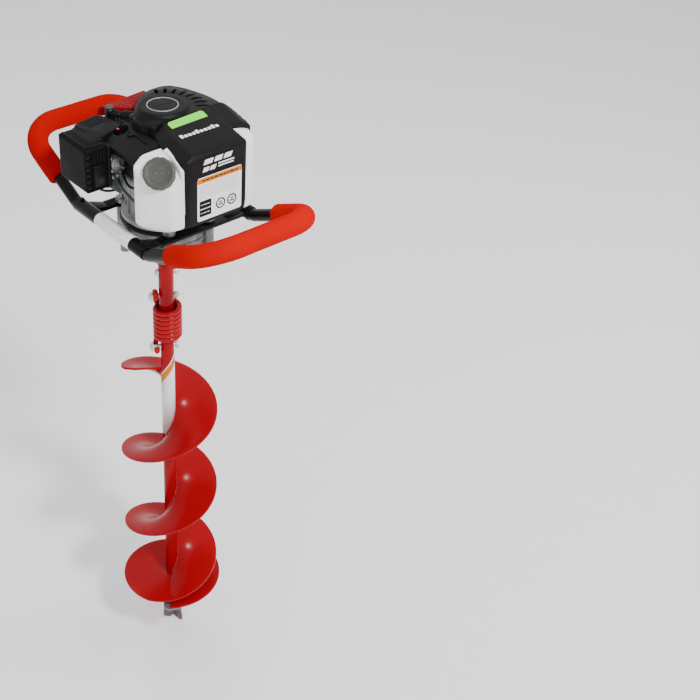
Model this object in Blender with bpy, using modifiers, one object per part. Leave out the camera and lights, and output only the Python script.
"""One-man petrol earth and ice auger: engine powerhead with a wrap-round handle frame, gearbox,
sprung coupler and screw bit.

Metres, +Z up. The origin is on the drive axis, level with the side tubes of the handle frame.
-Y is the front, the side of the engine's flat panel, and +X is to the right seen from there.
"""

import math

import bmesh
import bpy
from mathutils import Matrix, Vector

X, Y, Z = Vector((1, 0, 0)), Vector((0, 1, 0)), Vector((0, 0, 1))
GAP = 0.0003  # between pieces that touch or seat in each other

# Handle frame
SIDE_X = 0.110
FRAME_TUBE_R = 0.0127
LOOP_TUBE_R = 0.011
TUBE_BORE_R = 0.0116
SIDE_TUBE_END_Y = 0.105
LOOP_BEND_Y = 0.111
LOOP_FAR_Y = 0.275
LOOP_RISE = 0.077
LOOP_CORNER_R = 0.060
LOOP_INSERT = 0.023
GRIP_R = 0.019
GRIP_START_Y = 0.165
BAR_Y, BAR_WIDTH = 0.080, 0.025
BAR_TOP, BAR_BOTTOM = -0.0035, -0.0095

# Gearbox: a two-stage train on one intermediate shaft, output on the engine's own axis
GEARBOX_R = 0.080
GEARBOX_WALL = 0.0045
GEARBOX_TOP, GEARBOX_SPLIT, GEARBOX_SHOULDER, GEARBOX_BOTTOM = -0.010, -0.030, -0.050, -0.100
CAVITY_TOP, CAVITY_FLOOR = -0.015, -0.048
BOSS_R, BOSS_CIRCLE_R = 0.0095, 0.0835
BOLT_HOLE_R, BOLT_R, BOLT_HEAD_R = 0.0033, 0.0029, 0.0065
PINION_TEETH, FIRST_GEAR_TEETH, LAST_GEAR_TEETH = 10, 40, 50
FIRST_MODULE = 0.0016
SHAFT_SPACING = FIRST_MODULE * (PINION_TEETH + FIRST_GEAR_TEETH) / 2
LAST_MODULE = 2 * SHAFT_SPACING / (PINION_TEETH + LAST_GEAR_TEETH)
FIRST_STAGE_Z = (-0.0250, -0.0175)
LAST_STAGE_Z = (-0.0400, -0.0290)
LAYSHAFT_R = 0.0049

# Output shaft, collar, sprung coupler
OUTPUT_SHAFT_R = 0.0110
BEARING_Z = (-0.0745, -0.0485)
BEARING_R = 0.0208
OUTPUT_SHAFT_BOTTOM = -0.150
COLLAR_R, COLLAR_BORE_R = 0.0148, 0.0114
COLLAR_TOP, COLLAR_BOTTOM = -0.1010, -0.240
BOLT_DIRECTION = Vector((-0.90, 0.43, 0)).normalized()
COLLAR_BOLT_Z, UPPER_HOOK_Z, LOWER_HOOK_Z = -0.1294, -0.1810, -0.2924
CROSS_BOLT_R, CROSS_HOLE_R = 0.0040, 0.0044
SPRING_MEAN_R, SPRING_WIRE_R = 0.0222, 0.0050
COIL_OFFSET = 0.0013  # the coil stands off the drive axis, away from its two hooks
SPRING_TOP, SPRING_BOTTOM = -0.2010, -0.2728
SPRING_TURNS = 7

# Bit
BIT_TOP, BIT_SHAFT_BOTTOM, BIT_TIP = -0.278, -0.930, -1.040
BIT_SHAFT_R = 0.0125
FLIGHT_R, HEAD_R = 0.095, 0.1016
FLIGHT_PITCH = 0.194
FLIGHT_TOP, FLIGHT_BOTTOM = -0.346, -0.882
FLIGHT_THICKNESS = 0.004
FLIGHT_PHASE_Z, FLIGHT_PHASE = -0.4453, math.radians(-36.8)
WING_DROP = 0.013
BLADE_THICKNESS = 0.004

# Engine, built on a vertical crankshaft
CRANKCASE_TOP = 0.129
CRANK_Z, CRANK_THROW = 0.106, 0.015
CYLINDER_Y = (0.0545, 0.128)
CYLINDER_BORE_R = 0.020
FIN_HALF_X, FIN_HALF_Z = 0.035, 0.040
FIN_COUNT, FIRST_FIN_Y, FIN_STEP, FIN_THICKNESS = 5, 0.068, 0.0135, 0.0030
COVER_TOP, COVER_WALL = 0.172, 0.003
MUFFLER_BOX = ((0.0380, 0.072, 0.070), (0.088, 0.132, 0.128))
CARB_BOX = ((-0.1040, 0.004, 0.090), (-0.068, 0.044, 0.128))
CARB_X = -0.086  # the carburettor's pump cover, throttle arm and primer bulb share it
FILTER_LEFT_X, FILTER_PLATE_X = -0.153, (-0.1100, -0.1045)
FILTER_BACK_Y, FILTER_BOTTOM, FILTER_TOP, FILTER_WALL = 0.089, 0.0765, 0.152, 0.004
SHROUD_TOP = 0.186
SHROUD_FRONT_Y = -0.145
PANEL_HALF_X = 0.065
PANEL_BOTTOM, PANEL_TOP = 0.047, 0.174
RECOIL_TOP = 0.1977
CAP_NORMAL = Vector((-0.52, -0.60, 0.61)).normalized()
CAP_CENTRE = Vector((-0.0855, -0.1110, 0.1420))
TANK_BOTTOM, TANK_TOP = 0.040, 0.166
PULL_DIRECTION = Vector((-0.55, 0.83, 0)).normalized()
HANDLE_CENTRE = Vector((-0.046, 0.091, 0.0))


def fresh_scene():
    for obj in list(bpy.data.objects):
        bpy.data.objects.remove(obj, do_unlink=True)


def new_collection(name):
    collection = bpy.data.collections.new(name)
    bpy.context.scene.collection.children.link(collection)
    return collection


fresh_scene()
PARTS = new_collection("earth_auger")
CUTTERS = new_collection("cutters")


def material(name, colour, roughness, metallic=0.0):
    made = bpy.data.materials.new(name)
    made.use_nodes = True
    shader = made.node_tree.nodes["Principled BSDF"]
    shader.inputs["Base Color"].default_value = (*colour, 1.0)
    shader.inputs["Roughness"].default_value = roughness
    shader.inputs["Metallic"].default_value = metallic
    return made


FRAME_BLACK = material("frame_black", (0.010, 0.010, 0.011), 0.25)
GRIP_RED = material("grip_red", (0.85, 0.025, 0.015), 0.75)
PAINT_RED = material("paint_red", (0.62, 0.006, 0.008), 0.25)
COVER_RED = material("cover_red", (0.60, 0.012, 0.012), 0.40)
CAST_ALUMINIUM = material("cast_aluminium", (0.33, 0.33, 0.32), 0.45, 0.9)
PLASTIC_BLACK = material("plastic_black", (0.018, 0.018, 0.020), 0.50)
TANK_WHITE = material("tank_white", (0.86, 0.86, 0.84), 0.35)
CAP_GREY = material("cap_grey", (0.12, 0.12, 0.115), 0.50)
STEEL = material("steel", (0.52, 0.53, 0.55), 0.30, 1.0)
DARK_STEEL = material("dark_steel", (0.07, 0.05, 0.06), 0.50, 0.7)
RUBBER_BLACK = material("rubber_black", (0.012, 0.012, 0.012), 0.65)
FOAM_DARK = material("foam_dark", (0.05, 0.05, 0.05), 0.95)
PRIMER_CLEAR = material("primer_clear", (0.70, 0.70, 0.66), 0.20)
SWITCH_RED = material("switch_red", (0.60, 0.02, 0.02), 0.40)


def add(name, data, finish, place=None):
    obj = bpy.data.objects.new(name, data)
    if place is not None:
        obj.matrix_world = place
    if finish is None:
        CUTTERS.objects.link(obj)
        obj.hide_render = True
        obj.display_type = "WIRE"
    else:
        PARTS.objects.link(obj)
        data.materials.append(finish)
    return obj


def turned_to(direction, centre):
    """Places a shape made along +Z at centre, pointing along direction."""
    turn = Vector(direction).to_track_quat("Z", "Y").to_matrix().to_4x4()
    return Matrix.Translation(centre) @ turn


def smooth(mesh, angle=35):
    mesh.shade_smooth()
    mesh.set_sharp_from_angle(angle=math.radians(angle))


def box(name, low, high, finish, place=None):
    made = bmesh.new()
    bmesh.ops.create_cube(made, size=1.0)
    low, high = Vector(low), Vector(high)
    bmesh.ops.scale(made, vec=high - low, verts=made.verts)
    bmesh.ops.translate(made, vec=(low + high) / 2, verts=made.verts)
    mesh = bpy.data.meshes.new(name)
    made.to_mesh(mesh)
    made.free()
    return add(name, mesh, finish, place)


def rod(name, centre, direction, radius, low, high, finish, sides=16, end_radius=None):
    """A cylinder or cone about the line through centre, from low to high along direction."""
    made = bmesh.new()
    top = radius if end_radius is None else end_radius
    bmesh.ops.create_cone(
        made, cap_ends=True, segments=sides, radius1=radius, radius2=top, depth=high - low
    )
    bmesh.ops.translate(made, vec=(0, 0, (low + high) / 2), verts=made.verts)
    mesh = bpy.data.meshes.new(name)
    made.to_mesh(mesh)
    made.free()
    smooth(mesh)
    return add(name, mesh, finish, turned_to(direction, centre))


def turned(name, profile, finish, sides=24, place=None, closed=False):
    """A body of revolution: profile is (radius, height) down the outer side, top to bottom."""
    mesh = bpy.data.meshes.new(name)
    points = [(radius, 0.0, height) for radius, height in profile]
    edges = [(i, i + 1) for i in range(len(points) - 1)]
    if closed:
        edges.append((len(points) - 1, 0))
    mesh.from_pydata(points, edges, [])
    obj = add(name, mesh, finish, place)
    screw = obj.modifiers.new("turn", "SCREW")
    screw.steps = screw.render_steps = sides
    screw.use_merge_vertices = True
    screw.merge_threshold = 0.00005
    screw.use_smooth_shade = True
    return as_mesh(obj)


def as_mesh(obj):
    """The object as a plain closed mesh, so that Booleans can take it."""
    bpy.context.view_layer.update()
    graph = bpy.context.evaluated_depsgraph_get()
    mesh = bpy.data.meshes.new_from_object(obj.evaluated_get(graph))
    made = bmesh.new()
    made.from_mesh(mesh)
    bmesh.ops.remove_doubles(made, verts=made.verts, dist=0.00002)
    bmesh.ops.recalc_face_normals(made, faces=made.faces)
    made.to_mesh(mesh)
    made.free()
    smooth(mesh)
    name, place = obj.name, obj.matrix_world.copy()
    hidden = obj.hide_render
    bpy.data.objects.remove(obj, do_unlink=True)
    if hidden:
        return add(name, mesh, None, place)
    solid = bpy.data.objects.new(name, mesh)
    solid.matrix_world = place
    PARTS.objects.link(solid)
    return solid


def tube(name, points, radius, finish, resolution=4):
    curve = bpy.data.curves.new(name, "CURVE")
    curve.dimensions = "3D"
    curve.bevel_depth = radius
    curve.bevel_resolution = resolution
    curve.use_fill_caps = True
    line = curve.splines.new("POLY")
    line.points.add(len(points) - 1)
    for point, place in zip(line.points, points):
        point.co = (*place, 1.0)
    return as_mesh(add(name, curve, finish))


def plate(name, outline, low, high, finish, place=None):
    """A flat outline with thickness, from low to high along its own Z."""
    curve = bpy.data.curves.new(name, "CURVE")
    curve.dimensions = "2D"
    curve.fill_mode = "BOTH"
    curve.extrude = (high - low) / 2
    line = curve.splines.new("POLY")
    line.points.add(len(outline) - 1)
    line.use_cyclic_u = True
    for point, (u, v) in zip(line.points, outline):
        point.co = (u, v, 0.0, 1.0)
    middle = Matrix.Translation((0, 0, (low + high) / 2))
    return as_mesh(add(name, curve, finish, (place or Matrix()) @ middle))


def side_plate(name, outline, low_x, high_x, finish):
    """A plate whose outline is (y, z) and whose thickness runs along X."""
    upright = Matrix(((0, 0, 1, 0), (1, 0, 0, 0), (0, 1, 0, 0), (0, 0, 0, 1)))
    return plate(name, outline, low_x, high_x, finish, upright)


def combine(obj, others, operation):
    bpy.context.view_layer.update()
    for other in others:
        step = obj.modifiers.new(operation.lower(), "BOOLEAN")
        step.operation = operation
        step.solver = "EXACT"
        step.object = other
    return obj


def cut(obj, *others):
    return combine(obj, others, "DIFFERENCE")


def join(obj, *others):
    return combine(obj, others, "UNION")


def soften(obj, width, segments=1, angle=50):
    bevel = obj.modifiers.new("soften", "BEVEL")
    bevel.width = width
    bevel.segments = segments
    bevel.limit_method = "ANGLE"
    bevel.angle_limit = math.radians(angle)
    return obj


def polar(radius, angle, height=0.0):
    return Vector((radius * math.cos(angle), radius * math.sin(angle), height))


def on_axis(name, centre, *objects):
    """Hangs the objects on an empty that stands on their joint's axis."""
    pivot = bpy.data.objects.new(name, None)
    PARTS.objects.link(pivot)
    pivot.location = centre
    bpy.context.view_layer.update()
    for obj in objects:
        obj.parent = pivot
        obj.matrix_parent_inverse = pivot.matrix_world.inverted()


# ---------------------------------------------------------------- handle frame


def loop_path(side, first_y, corner_points=6):
    """Centre line of one handle loop, from its left leg at first_y round to its right leg."""
    bend = Vector((-SIDE_X, side * LOOP_BEND_Y, 0))
    vertex = Vector((-SIDE_X, side * LOOP_FAR_Y, LOOP_RISE))
    along = (vertex - bend).normalized()
    half = []
    if first_y < LOOP_BEND_Y:
        half.append(Vector((-SIDE_X, side * first_y, 0)))
        half.append(bend - Vector((0, side * 0.004, 0)))
        half.append(bend + along * 0.006)
    else:
        half.append(bend + along * ((first_y - LOOP_BEND_Y) / abs(along.y)))
    for step in range(corner_points):
        turn = math.pi / 2 * step / (corner_points - 1)
        inward = LOOP_CORNER_R * (1 - math.cos(turn))
        onward = LOOP_CORNER_R * (1 - math.sin(turn))
        half.append(vertex - along * onward + X * inward)
    other = [Vector((-point.x, point.y, point.z)) for point in reversed(half)]
    return half + other


def handle_frame():
    for name, side in (("left", -1), ("right", 1)):
        centre = (side * SIDE_X, 0, 0)
        reach = SIDE_TUBE_END_Y
        bar = rod(f"frame_tube_{name}", centre, Y, FRAME_TUBE_R, -reach, reach, FRAME_BLACK)
        cut(bar, rod("bore", centre, Y, TUBE_BORE_R, -reach - 0.01, reach + 0.01, None))
    for name, side in (("front", -1), ("rear", 1)):
        half_x = SIDE_X - FRAME_TUBE_R - GAP
        low_y, high_y = sorted((side * (BAR_Y - BAR_WIDTH / 2), side * (BAR_Y + BAR_WIDTH / 2)))
        bar = box(
            f"cross_bar_{name}",
            (-half_x, low_y, BAR_BOTTOM),
            (half_x, high_y, BAR_TOP),
            FRAME_BLACK,
        )
        for angle in bolt_angles():
            if math.sin(angle) * side > 0:
                cut(bar, rod("hole", bolt_place(angle), Z, BOLT_HOLE_R, -0.02, 0.01, None, 10))
        tube(f"handle_loop_{name}", loop_path(side, SIDE_TUBE_END_Y - LOOP_INSERT), LOOP_TUBE_R,
             FRAME_BLACK)
        grip = tube(f"grip_{name}", loop_path(side, GRIP_START_Y), GRIP_R, GRIP_RED)
        cut(grip, tube("grip_bore", loop_path(side, GRIP_START_Y - 0.01), TUBE_BORE_R, None))


# ---------------------------------------------------------------- gearbox


def bolt_angles():
    """The four bolts that clamp crankcase, cross bars and gearbox together."""
    return [math.radians(angle) for angle in (60, 120, 240, 300)]


def bolt_place(angle):
    return polar(BOSS_CIRCLE_R, angle)


def gear_outline(teeth, module, phase):
    """Straight-sided teeth with ample backlash; one tooth points along phase."""
    pitch_r = module * teeth / 2
    root_r, tip_r = pitch_r - 1.20 * module, pitch_r + 0.70 * module
    step = 2 * math.pi / teeth
    outline = []
    for tooth in range(teeth):
        middle = phase + tooth * step
        for radius, offset in ((root_r, -0.27), (tip_r, -0.09), (tip_r, 0.09), (root_r, 0.27)):
            outline.append(tuple(polar(radius, middle + offset * step).xy))
    return outline


def gearbox():
    top, split, wall = GEARBOX_TOP, GEARBOX_SPLIT, GEARBOX_R - GEARBOX_WALL
    lay = (0, SHAFT_SPACING, 0)
    pinion_hole_r = 0.0105
    upper = turned("gearbox_upper", [
        (GEARBOX_R, top), (GEARBOX_R, split + GAP), (wall, split + GAP), (wall, CAVITY_TOP),
        (pinion_hole_r, CAVITY_TOP), (pinion_hole_r, top),
    ], CAST_ALUMINIUM, 24, closed=True)
    lower = turned("gearbox_lower", [
        (GEARBOX_R, split), (GEARBOX_R, GEARBOX_SHOULDER), (0.042, -0.079), (0.029, -0.084),
        (0.027, GEARBOX_BOTTOM), (0.0116, GEARBOX_BOTTOM), (0.0116, BEARING_Z[0] - GAP),
        (BEARING_R + GAP, BEARING_Z[0] - GAP), (BEARING_R + GAP, CAVITY_FLOOR),
        (wall, CAVITY_FLOOR), (wall, split),
    ], CAST_ALUMINIUM, 24, closed=True)
    for index in range(6):
        place = polar(BOSS_CIRCLE_R, math.radians(60 * index))
        join(upper, rod("boss", place, Z, BOSS_R, split + GAP, top, None, 10))
        join(lower, rod("boss", place, Z, BOSS_R, GEARBOX_SHOULDER - 0.003, split, None, 10))
    cavity = rod("cavity", (0, 0, 0), Z, wall, CAVITY_FLOOR, CAVITY_TOP, None, 24)
    cut(upper, cavity)
    cut(lower, cavity)
    for angle in bolt_angles():
        hole = rod("hole", bolt_place(angle), Z, BOLT_HOLE_R, -0.047, 0.02, None, 10)
        cut(upper, hole)
        cut(lower, hole)
    cut(upper, rod("pocket", lay, Z, LAYSHAFT_R + GAP, -0.016, -0.0125, None, 12))
    cut(lower, rod("pocket", lay, Z, LAYSHAFT_R + GAP, -0.058, -0.047, None, 12))
    for index, angle in enumerate(bolt_angles()):
        turned(f"frame_bolt_{index + 1}", [
            (0, 0.0125), (BOLT_HEAD_R, 0.0125), (BOLT_HEAD_R, 0.0065), (BOLT_R, 0.0065),
            (BOLT_R, -0.045), (0, -0.045),
        ], STEEL, 10, Matrix.Translation(bolt_place(angle)))
    turned("output_bearing", [
        (BEARING_R, BEARING_Z[1]), (BEARING_R, BEARING_Z[0]),
        (0.0101, BEARING_Z[0]), (0.0101, BEARING_Z[1]),
    ], STEEL, 20, closed=True)


def gear_train():
    """The engine's clutch drum drives the layshaft, which drives the output gear, both on Z."""
    front = math.pi / 2
    half_tooth = math.pi / PINION_TEETH
    lay = Matrix.Translation((0, SHAFT_SPACING, 0))
    wheel = plate("output_gear", gear_outline(LAST_GEAR_TEETH, LAST_MODULE, front),
                  *LAST_STAGE_Z, STEEL)
    cut(wheel, rod("bore", (0, 0, 0), Z, 0.0084, -0.05, -0.02, None, 16))
    shaft = turned("output_shaft", [
        (0, LAST_STAGE_Z[1]), (0.0078, LAST_STAGE_Z[1]), (0.0078, BEARING_Z[1]),
        (0.0096, BEARING_Z[1]), (0.0096, BEARING_Z[0]), (OUTPUT_SHAFT_R, BEARING_Z[0]),
        (OUTPUT_SHAFT_R, OUTPUT_SHAFT_BOTTOM), (0, OUTPUT_SHAFT_BOTTOM),
    ], STEEL, 16)
    cross_hole(shaft, COLLAR_BOLT_Z)
    first = plate("layshaft", gear_outline(FIRST_GEAR_TEETH, FIRST_MODULE, -front),
                  *FIRST_STAGE_Z, STEEL, lay)
    small = plate("lay_pinion", gear_outline(PINION_TEETH, LAST_MODULE, -front + half_tooth),
                  LAST_STAGE_Z[0], FIRST_STAGE_Z[0] + 0.001, None, lay)
    axle = rod("axle", (0, SHAFT_SPACING, 0), Z, LAYSHAFT_R, -0.057, -0.013, None, 12)
    join(first, small, axle)
    drum = turned("clutch_drum", [
        (0, 0.0035), (0.0362, 0.0035), (0.0362, 0.0220), (0.0390, 0.0220), (0.0390, 0), (0, 0),
    ], STEEL, 24)
    pinion = plate("drive_pinion", gear_outline(PINION_TEETH, FIRST_MODULE, front + half_tooth),
                   FIRST_STAGE_Z[0], FIRST_STAGE_Z[1], None)
    spindle = rod("spindle", (0, 0, 0), Z, 0.0058, FIRST_STAGE_Z[0] - 0.001, 0.002, None, 12)
    join(drum, spindle, pinion)
    on_axis("layshaft_axis", (0, SHAFT_SPACING, 0), first)
    on_axis("clutch_drum_axis", (0, 0, 0), drum)
    return wheel, shaft


# ---------------------------------------------------------------- coupler


def cross_hole(obj, height):
    cut(obj, rod("cross_hole", (0, 0, height), BOLT_DIRECTION, CROSS_HOLE_R, -0.05, 0.05, None, 12))


def cross_bolt(name, height, clamp):
    """A through bolt: its head stands clamp away from the axis and its nut on the tube."""
    head, seat = clamp + 0.0055, COLLAR_R + GAP
    nut = seat + 0.0065
    return turned(name, [
        (0, head), (0.0072, head), (0.0072, clamp), (CROSS_BOLT_R, clamp),
        (CROSS_BOLT_R, -seat), (0.0068, -seat), (0.0068, -nut), (CROSS_BOLT_R, -nut),
        (CROSS_BOLT_R, -nut - 0.003), (0, -nut - 0.003),
    ], STEEL, 12, turned_to(BOLT_DIRECTION, (0, 0, height)))


def hook(bolt_height, direction, towards_coil):
    """Points of the wire end that comes off the coil and hooks over the bolt's far side."""
    reach = CROSS_BOLT_R + SPRING_WIRE_R + GAP
    across = Z.cross(direction).normalized()
    base = direction * (SPRING_MEAN_R - 0.0005) + Z * bolt_height
    points = [base + across * -reach + Z * towards_coil * 0.004]
    for step in range(7):
        turn = math.pi * step / 6
        points.append(
            base + across * (-reach * math.cos(turn)) - Z * towards_coil * reach * math.sin(turn)
        )
    points.append(base + across * reach + Z * towards_coil * 0.002)
    return points


def coupler():
    collar = turned("coupler_collar", [
        (0, OUTPUT_SHAFT_BOTTOM - GAP), (COLLAR_BORE_R, OUTPUT_SHAFT_BOTTOM - GAP),
        (COLLAR_BORE_R, COLLAR_TOP), (COLLAR_R, COLLAR_TOP), (COLLAR_R, COLLAR_BOTTOM),
        (0, COLLAR_BOTTOM),
    ], PAINT_RED, 20)
    cross_hole(collar, COLLAR_BOLT_Z)
    cross_hole(collar, UPPER_HOOK_Z)
    bolts = [
        cross_bolt("collar_bolt", COLLAR_BOLT_Z, COLLAR_R + GAP),
        cross_bolt("upper_hook_bolt", UPPER_HOOK_Z, SPRING_MEAN_R + SPRING_WIRE_R),
    ]
    upper_side = math.atan2(BOLT_DIRECTION.y, BOLT_DIRECTION.x)
    lead = math.asin((CROSS_BOLT_R + SPRING_WIRE_R) / SPRING_MEAN_R) + math.radians(14)
    start = upper_side - lead
    lower_hook = hook(LOWER_HOOK_Z, BOLT_DIRECTION, 1)
    upper_hook = hook(UPPER_HOOK_Z, BOLT_DIRECTION, -1)
    finish = upper_side - lead - 2 * math.pi * SPRING_TURNS
    steps = 10 * SPRING_TURNS
    coil = []
    for step in range(steps + 1):
        part = step / steps
        angle = start + (finish - start) * part
        height = SPRING_TOP + (SPRING_BOTTOM - SPRING_TOP) * part
        coil.append(polar(SPRING_MEAN_R, angle, height) - BOLT_DIRECTION * COIL_OFFSET)
    tube("coupler_spring", upper_hook[::-1] + coil + lower_hook, SPRING_WIRE_R, PAINT_RED, 2)
    return [collar] + bolts


# ---------------------------------------------------------------- bit


def flight_angle(height):
    return FLIGHT_PHASE + 2 * math.pi * (height - FLIGHT_PHASE_Z) / FLIGHT_PITCH


def ribbon(name, stations, finish):
    """A flight plate: stations are (outer radius, angle, height), from top to bottom."""
    made = bmesh.new()
    inner_r = BIT_SHAFT_R + 2 * GAP
    rows = []
    for radius, angle, height in stations:
        rows.append((made.verts.new(polar(inner_r, angle, height)),
                     made.verts.new(polar(radius, angle, height))))
    for (inner, outer), (next_inner, next_outer) in zip(rows, rows[1:]):
        made.faces.new((inner, outer, next_outer, next_inner))
    bmesh.ops.recalc_face_normals(made, faces=made.faces)
    mesh = bpy.data.meshes.new(name)
    made.to_mesh(mesh)
    made.free()
    mesh.shade_smooth()
    obj = add(name, mesh, finish)
    thick = obj.modifiers.new("thickness", "SOLIDIFY")
    thick.thickness = FLIGHT_THICKNESS
    thick.offset = 0
    return obj


def bit():
    shaft = rod("bit_shaft", (0, 0, 0), Z, BIT_SHAFT_R, BIT_SHAFT_BOTTOM, BIT_TOP, PAINT_RED, 16)
    cross_hole(shaft, LOWER_HOOK_Z)
    bolt = cross_bolt("lower_hook_bolt", LOWER_HOOK_Z, SPRING_MEAN_R + SPRING_WIRE_R)
    steps = 60
    stations = []
    for step in range(steps + 1):
        height = FLIGHT_TOP + (FLIGHT_BOTTOM - FLIGHT_TOP) * step / steps
        corner = min(1.0, step / 3)
        radius = BIT_SHAFT_R + 0.010 + (FLIGHT_R - BIT_SHAFT_R - 0.010) * (
            1 - (1 - corner) ** 3) if step else FLIGHT_R * 0.72
        stations.append((radius, flight_angle(height), height))
    wing_angle = flight_angle(FLIGHT_BOTTOM)
    half_turn = []
    for step in range(1, 11):
        part = step / 10
        half_turn.append((HEAD_R, -math.pi * part, -WING_DROP * part))
    for radius, turn, drop in half_turn:
        stations.append((radius, wing_angle + turn, FLIGHT_BOTTOM + drop))
    flight = ribbon("bit_flight", stations, PAINT_RED)
    second = [(HEAD_R, wing_angle - math.pi, FLIGHT_BOTTOM)]
    for radius, turn, drop in half_turn:
        second.append((radius, wing_angle - math.pi + turn, FLIGHT_BOTTOM + drop))
    wing = ribbon("cutter_wing", second, PAINT_RED)
    pieces = [shaft, bolt, flight, wing]
    blade_top = FLIGHT_BOTTOM - WING_DROP - FLIGHT_THICKNESS / 2 - 0.001
    for index, angle in enumerate((wing_angle - math.pi, wing_angle - 2 * math.pi)):
        turn = Matrix.Rotation(angle, 4, "Z")
        pieces.append(plate(f"cutting_blade_{index + 1}", [
            (0.020, 0.020), (0.020, -0.008), (0.095, -0.014), (0.103, -0.006), (0.098, 0.020),
        ], blade_top - BLADE_THICKNESS, blade_top, DARK_STEEL, turn))
    width, top = 0.0185, BIT_SHAFT_BOTTOM - GAP
    face = Matrix.Rotation(FLIGHT_PHASE, 4, "Z") @ Matrix.Rotation(math.pi / 2, 4, "X")
    pieces.append(plate("fishtail_point", [
        (-width, top), (-width - 0.001, BIT_TIP + 0.030), (-width - 0.002, BIT_TIP + 0.013),
        (-0.005, BIT_TIP + 0.011), (0, BIT_TIP + 0.018), (width, BIT_TIP),
        (width + 0.003, BIT_TIP + 0.004), (width, BIT_TIP + 0.030), (width, top),
    ], -0.003, 0.003, DARK_STEEL, face))
    on_axis("bit_axis", (0, 0, BIT_TOP), *pieces)


# ---------------------------------------------------------------- engine core


def crankcase():
    case = turned("crankcase", [
        (0.050, CRANKCASE_TOP), (0.054, 0.125), (0.054, 0.062), (0.066, 0.050), (0.066, 0.006),
        (0.076, 0.006), (0.076, BAR_TOP + GAP), (0.0615, BAR_TOP + GAP),
        (0.0615, GEARBOX_TOP + GAP), (0.0465, GEARBOX_TOP + GAP), (0.0465, 0.030),
        (0.0087, 0.030), (0.0087, 0.088), (0.040, 0.088), (0.040, 0.1245), (0.0087, 0.1245),
        (0.0087, CRANKCASE_TOP),
    ], CAST_ALUMINIUM, 24, closed=True)
    for angle in bolt_angles():
        ear = rod("ear", bolt_place(angle), Z, 0.011, BAR_TOP + 2 * GAP, 0.0057, None, 12)
        join(case, ear)
    side = box("side_block", (-0.074, -0.030, 0.048), (-0.035, 0.030, 0.084), None)
    join(case, side)
    for angle in bolt_angles():
        cut(case, rod("hole", bolt_place(angle), Z, BOLT_HOLE_R, -0.02, 0.02, None, 10))
    cut(case, rod("mouth", (0, 0, CRANK_Z), Y, 0.0215, 0.005, 0.07, None, 20))


def along_cylinder():
    """Turns a shape made along +Z onto the cylinder's axis, which runs to the rear."""
    return Matrix.Translation((0, 0, CRANK_Z)) @ Matrix.Rotation(-math.pi / 2, 4, "X")


def crank_assembly():
    pin = Vector((0, CRANK_THROW, 0))
    shaft = rod("crankshaft", (0, 0, 0), Z, 0.0080, 0.0050, 0.092, STEEL, 12)
    web_low = rod("web", (0, 0, 0), Z, 0.032, 0.0890, 0.0985, None, 20)
    web_high = rod("web", (0, 0, 0), Z, 0.032, 0.1135, 0.1230, None, 20)
    crank_pin = rod("pin", pin, Z, 0.0060, 0.095, 0.118, None, 12)
    nose = rod("nose", (0, 0, 0), Z, 0.0080, 0.118, 0.168, None, 12)
    join(shaft, web_low, crank_pin, web_high, nose)
    shoes = turned("clutch_shoes", [
        (0.0335, 0.0190), (0.0335, 0.0060), (0.0085, 0.0060), (0.0085, 0.0190),
    ], STEEL, 24, closed=True)
    for side in (-1, 1):
        middle = side * 0.022
        gap = box("shoe_gap", (middle - 0.013, -0.0015, 0), (middle + 0.013, 0.0015, 0.03), None)
        cut(shoes, gap)
    flywheel = turned("flywheel", [
        (0.047, 0.160), (0.047, 0.134), (0.0085, 0.134), (0.0085, 0.160), (0.014, 0.160),
        (0.014, 0.146), (0.040, 0.146), (0.040, 0.160),
    ], CAST_ALUMINIUM, 24, closed=True)
    on_axis("crank_axis", (0, 0, 0), shaft, shoes, flywheel)
    eye = rod("connecting_rod", pin, Z, 0.0105, 0.1010, 0.1110, STEEL, 12)
    shank_low = (-0.0035, CRANK_THROW + 0.007, 0.1025)
    shank_high = (0.0035, CRANK_THROW + 0.024, 0.1095)
    far_end = (0, CRANK_THROW + 0.026, 0)
    join(eye, box("shank", shank_low, shank_high, None),
         rod("small_eye", far_end, Z, 0.0055, 0.1020, 0.1100, None, 12))
    cut(eye, rod("eye_bore", pin, Z, 0.0064, 0.09, 0.12, None, 12))
    on_axis("rod_axis", pin, eye)
    piston = turned("piston", [
        (0, 0.118), (0.0196, 0.118), (0.0196, 0.0860), (0.0165, 0.0860), (0.0165, 0.113),
        (0, 0.113),
    ], CAST_ALUMINIUM, 20, along_cylinder())
    join(piston, rod("wrist_pin", (0, 0.098, CRANK_Z), Z, 0.0050, -0.018, 0.018, None, 10))
    on_axis("piston_axis", (0, CYLINDER_Y[0], CRANK_Z), piston)


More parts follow.
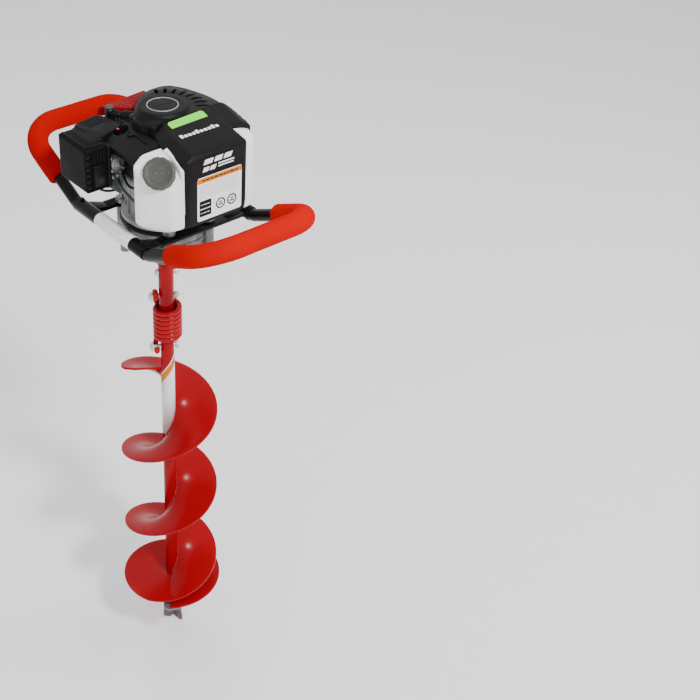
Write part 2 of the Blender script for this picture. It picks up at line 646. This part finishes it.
def cylinder_group():
    low, high = CYLINDER_Y
    body = rod("cylinder", (0, 0, CRANK_Z), Y, 0.027, low, high - 0.002, CAST_ALUMINIUM, 20)
    for index in range(FIN_COUNT):
        front = FIRST_FIN_Y + index * FIN_STEP
        join(body, box("fin", (-FIN_HALF_X, front, CRANK_Z - FIN_HALF_Z),
                       (FIN_HALF_X, front + FIN_THICKNESS, CRANK_Z + FIN_HALF_Z), None))
    cut(body, rod("bore", (0, 0, CRANK_Z), Y, CYLINDER_BORE_R, low - 0.01, high - 0.008, None, 20))
    cover = plate("cylinder_cover", [
        (-0.0548, 0.122), (-0.0425, 0.1038), (-0.036, 0.1025), (-0.012, 0.073), (0.045, 0.073),
        (0.045, 0.122),
    ], CRANK_Z + FIN_HALF_Z + 0.0008, COVER_TOP, COVER_RED)
    cut(cover, plate("inside", [
        (-0.0482, 0.1185), (-0.0400, 0.1068), (-0.0340, 0.1060), (-0.0103, 0.0765),
        (0.0415, 0.0765), (0.0415, 0.1185),
    ], 0.10, COVER_TOP - COVER_WALL, None))
    for index in range(4):
        row = 0.0830 + index * 0.0095
        first = -0.008 if index < 2 else -0.026
        cut(cover, box("louvre", (first, row, 0.160), (0.036, row + 0.003, 0.180), None))
    turned("spark_plug", [
        (0, 0.156), (0.0035, 0.156), (0.0055, 0.148), (0.0095, 0.142), (0.0095, 0.1305),
        (0, 0.1305),
    ], STEEL, 12, along_cylinder())
    turned("plug_boot", [
        (0, 0.172), (0.008, 0.172), (0.0105, 0.168), (0.0115, 0.1465), (0.0082, 0.1465),
        (0.0062, 0.158), (0, 0.158),
    ], RUBBER_BLACK, 12, along_cylinder())
    silencer = box("muffler", *MUFFLER_BOX, DARK_STEEL)
    soften(silencer, 0.008, 2)
    join(silencer, rod("outlet", (0.070, 0.12, 0.085), Y, 0.007, 0.0, 0.020, None, 12))


# ---------------------------------------------------------------- intake and fuel


def intake():
    block = box("carburetor", *CARB_BOX, CAST_ALUMINIUM)
    join(block, rod("pump_cover", (CARB_X, 0, 0.109), Y, 0.0165, -0.003, 0.006, None, 16),
         box("insulator", (-0.070, 0.012, 0.096), (-0.0565, 0.044, 0.122), None))
    plate_low_x, plate_high_x = FILTER_PLATE_X
    base = box("filter_base", (plate_low_x, 0.0, 0.078), (plate_high_x, 0.087, 0.148),
               PLASTIC_BLACK)
    join(base, box("duct", (-0.107, 0.046, 0.130), (-0.058, 0.085, 0.152), None))
    wall, back, low, high = FILTER_WALL, FILTER_BACK_Y, FILTER_BOTTOM, FILTER_TOP
    cover = side_plate("filter_cover", [
        (0, low), (back, low), (back, high - 0.006), (back - 0.007, high), (0.010, high),
        (0, high - 0.012),
    ], FILTER_LEFT_X, plate_low_x - GAP, PLASTIC_BLACK)
    inside = side_plate("filter_space", [
        (wall, low + wall), (back - wall, low + wall), (back - wall, high - 0.008),
        (back - 0.009, high - wall), (0.012, high - wall), (wall, high - 0.014),
    ], FILTER_LEFT_X + wall, -0.10, None)
    cut(cover, inside)
    box("filter_element", (-0.136, 0.008, 0.084), (-0.1108, 0.079, 0.136), FOAM_DARK)
    arm = box("throttle_arm", (CARB_X - 0.0025, 0.030, 0.1290), (CARB_X + 0.0025, 0.0445, 0.1315),
              STEEL)
    on_axis("throttle_arm_axis", (CARB_X, 0.033, 0.129), arm)
    bulb = turned("primer_bulb", [
        (0, 0.0872), (0.0095, 0.0872), (0.0095, 0.0840), (0.0070, 0.0790), (0, 0.0772),
    ], PRIMER_CLEAR, 12, Matrix.Translation((CARB_X, 0.024, 0)))
    on_axis("primer_axis", (CARB_X, 0.024, 0.0872), bulb)


def fuel_tank():
    recess_y = SHROUD_FRONT_Y + 0.0205
    inner_x = PANEL_HALF_X + 0.0035
    tank = plate("fuel_tank", [
        (-0.110, -0.076), (-0.072, -0.139), (-inner_x, -0.139), (-inner_x, recess_y),
        (inner_x, recess_y), (inner_x, -0.138), (0.086, -0.134), (0.095, -0.110),
        (0.095, -0.076),
    ], TANK_BOTTOM, TANK_TOP, TANK_WHITE)
    face = turned_to(CAP_NORMAL, CAP_CENTRE)
    cut(tank, box("facet", (-0.09, -0.09, 0), (0.09, 0.09, 0.08), None, face))
    cut(tank, box("back_step", (-0.12, -0.115, 0.150), (0.12, -0.05, 0.20), None))
    soften(tank, 0.005, 1, 30)
    cap = rod("fuel_cap", CAP_CENTRE, CAP_NORMAL, 0.0262, GAP, 0.013, CAP_GREY, 12, 0.0245)
    on_axis("fuel_cap_axis", CAP_CENTRE, cap)


# ---------------------------------------------------------------- shroud and starter


def shroud():
    plan = [
        (-0.062, -0.120), (0.062, -0.120), (0.100, -0.090), (0.105, -0.070), (0.105, 0.010),
        (0.094, 0.050), (0.074, 0.078), (0.022, 0.080), (-0.022, 0.062), (-0.058, 0.024),
        (-0.062, -0.060),
    ]
    hood = plate("engine_shroud", plan, SHROUD_TOP - 0.004, SHROUD_TOP, PLASTIC_BLACK)
    front = side_plate("front_panel", [
        (SHROUD_FRONT_Y, PANEL_BOTTOM), (SHROUD_FRONT_Y, PANEL_TOP - 0.004),
        (SHROUD_FRONT_Y + 0.006, PANEL_TOP), (-0.100, SHROUD_TOP), (-0.090, SHROUD_TOP),
        (-0.090, SHROUD_TOP - 0.0045), (-0.128, PANEL_TOP - 0.002),
        (SHROUD_FRONT_Y + 0.0160, PANEL_TOP - 0.008), (SHROUD_FRONT_Y + 0.0160, PANEL_BOTTOM),
    ], -PANEL_HALF_X, PANEL_HALF_X, None)
    right = box("right_wall", (0.1000, -0.070, 0.108), (0.105, 0.010, SHROUD_TOP - 0.001), None)
    left = box("left_wall", (-0.0635, -0.072, 0.139), (-0.0575, 0.018, SHROUD_TOP - 0.001), None)
    wing = plate("wing", [
        (-0.058, -0.070), (-0.098, -0.062), (-0.104, -0.050), (-0.104, 0.038), (-0.060, 0.038),
    ], 0.139, 0.1485, None)
    join(hood, front, right, left, wing)
    cut(hood, rod("recoil_hole", (0, 0, 0), Z, 0.0595, 0.15, 0.20, None, 32))
    turned("recoil_cover", [
        (0, RECOIL_TOP), (0.042, RECOIL_TOP), (0.0435, 0.1955), (0.0560, 0.1895), (0.0585, 0.168),
        (0.0550, 0.168), (0.0525, 0.1865), (0.0380, 0.1935), (0, 0.1935),
    ], PLASTIC_BLACK, 24)
    pulley = turned("recoil_pulley", [
        (0.0470, 0.1825), (0.0470, 0.1810), (0.0400, 0.1790), (0.0470, 0.1770),
        (0.0470, 0.1750), (0.0060, 0.1750), (0.0060, 0.1825),
    ], PLASTIC_BLACK, 24, closed=True)
    turned("recoil_spring", [
        (0.034, 0.1920), (0.034, 0.1840), (0.012, 0.1840), (0.012, 0.1920),
    ], STEEL, 20, closed=True)
    lever = box("choke_lever", (-0.0715, 0.020, 0.1490), (-0.0665, 0.034, 0.1525), PLASTIC_BLACK)
    join(lever, box("finger_tab", (-0.0715, 0.030, 0.150), (-0.0665, 0.034, 0.160), None))
    on_axis("choke_axis", (-0.069, 0.0225, 0.149), lever)
    on_axis("recoil_axis", (0, 0, 0.175), pulley)


def starter_handle():
    bar = turned("starter_handle", [
        (0, 0.1720), (0.0060, 0.1710), (0.0085, 0.1670), (0.0085, 0.1070), (0.0060, 0.1030),
        (0, 0.1020),
    ], PLASTIC_BLACK, 12, Matrix.Translation(HANDLE_CENTRE))
    stem = rod("stem", HANDLE_CENTRE + Z * 0.160, -PULL_DIRECTION, 0.0065, 0.0, 0.022, None, 10)
    join(bar, stem)
    on_axis("starter_handle_axis", HANDLE_CENTRE + Z * 0.160, bar)


# ---------------------------------------------------------------- controls


def throttle():
    leg = Vector((0, LOOP_FAR_Y - LOOP_BEND_Y, LOOP_RISE)).normalized()
    across = leg.cross(X).normalized()
    clamp = Vector((SIDE_X, LOOP_BEND_Y, 0)) + leg * 0.028
    pivot = clamp - X * 0.0265
    holder = rod("throttle_bracket", clamp, leg, 0.0170, -0.012, 0.012, PLASTIC_BLACK, 16)
    for side in (-1, 1):
        centre = pivot + across * side * 0.0072 + X * 0.006
        ear = box("ear", (-0.010, -0.006, -0.0014), (0.010, 0.006, 0.0014), None,
                  axes_at(centre, X, leg))
        join(holder, ear)
    cut(holder, rod("clamp_bore", clamp, leg, TUBE_BORE_R, -0.02, 0.02, None, 16))
    rest = math.radians(18)
    reach = leg * math.cos(rest) - X * math.sin(rest)
    lever = rod("throttle_lever", pivot, across, 0.0048, -0.0050, 0.0050, PLASTIC_BLACK, 12)
    blade = box("blade", (0.0, -0.0028, -0.0048), (0.082, 0.0028, 0.0048), None,
                axes_at(pivot, reach, across.cross(reach)))
    join(lever, blade)
    on_axis("throttle_axis", pivot, lever)
    outward = axes_at(clamp, leg.cross(X), leg)
    cut(holder, box("switch_pocket", (-0.0045, -0.0075, 0.0153), (0.0045, 0.0075, 0.02), None,
                    outward))
    switch = box("stop_switch", (-0.004, -0.007, 0.0175), (0.004, 0.007, 0.0225), SWITCH_RED,
                 outward)
    on_axis("stop_switch_axis", clamp + X * 0.0175, switch)
    route = [
        (0.0890, 0.1170, 0.0080), (0.0810, 0.1060, 0.0060), (0.0620, 0.0995, 0.0050),
        (0.0300, 0.0985, 0.0050), (-0.0100, 0.0985, 0.0050), (-0.0450, 0.0980, 0.0070),
        (-0.0700, 0.0920, 0.0200), (-0.0860, 0.0800, 0.0420), (-0.0930, 0.0680, 0.0680),
        (-0.0930, 0.0600, 0.0920), (-0.0890, 0.0560, 0.1120), (-0.0870, 0.0550, 0.1270),
    ]
    tube("throttle_cable", smooth_route(route, 2), 0.0024, RUBBER_BLACK, 2)


def axes_at(centre, first, second):
    """A frame at centre whose X is along first and whose Y is along second."""
    first, second = Vector(first).normalized(), Vector(second).normalized()
    third = first.cross(second)
    turn = Matrix((first, second, third)).transposed().to_4x4()
    return Matrix.Translation(centre) @ turn


def smooth_route(points, between):
    """A Catmull-Rom curve through the points, with between steps from each to the next."""
    points = [Vector(point) for point in points]
    ends = [2 * points[0] - points[1]] + points + [2 * points[-1] - points[-2]]
    route = []
    for a, b, c, d in zip(ends, ends[1:], ends[2:], ends[3:]):
        for step in range(between):
            t = step / between
            route.append(0.5 * (2 * b + (c - a) * t + (2 * a - 5 * b + 4 * c - d) * t * t
                                + (3 * b - 3 * c + d - a) * t ** 3))
    return route + [points[-1]]


def build():
    handle_frame()
    gearbox()
    wheel, shaft = gear_train()
    hung = coupler()
    on_axis("output_axis", (0, 0, 0), wheel, shaft, *hung)
    bit()
    crankcase()
    crank_assembly()
    cylinder_group()
    intake()
    fuel_tank()
    shroud()
    starter_handle()
    throttle()
    bpy.context.view_layer.update()


build()
